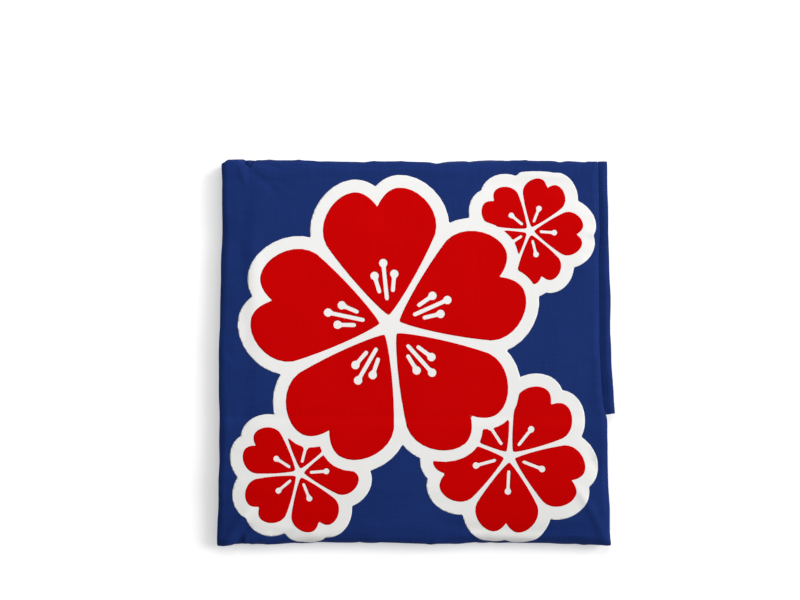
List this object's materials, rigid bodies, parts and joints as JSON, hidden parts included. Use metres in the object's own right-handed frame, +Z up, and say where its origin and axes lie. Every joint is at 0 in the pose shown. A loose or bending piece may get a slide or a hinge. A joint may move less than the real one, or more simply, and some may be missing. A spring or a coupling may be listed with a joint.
{
  "type": "folded happi coat",
  "caption": "Child's happi coat in plain blue cloth with a black collar and belt, folded into a flat square block that rests back up, a flower print on its face.",
  "frame": {"origin": "middle of the folded block's footprint, on the surface it rests on", "axes": "+Z up from that surface, +Y to the top of the coat's back as its print is read, +X to the right of it"},
  "size_m": [0.2174, 0.2105, 0.0147],
  "materials": {
    "blue_cloth": "smooth royal blue polyester, close plain weave, slight sheen",
    "black_cloth": "matte black polyester twill, stitched along its edges",
    "print_red": "smooth red transfer print on the cloth",
    "print_white": "smooth white transfer print on the cloth",
    "thread": "sewing thread in the colour of the cloth"
  },
  "bodies": {
    "root": {"back": "blue_cloth", "front_left": "blue_cloth", "front_right": "blue_cloth", "sleeve_left": "blue_cloth", "sleeve_right": "blue_cloth", "skirt_layers": "blue_cloth", "belt": "black_cloth", "collar": "black_cloth"}
  },
  "joints": []
}
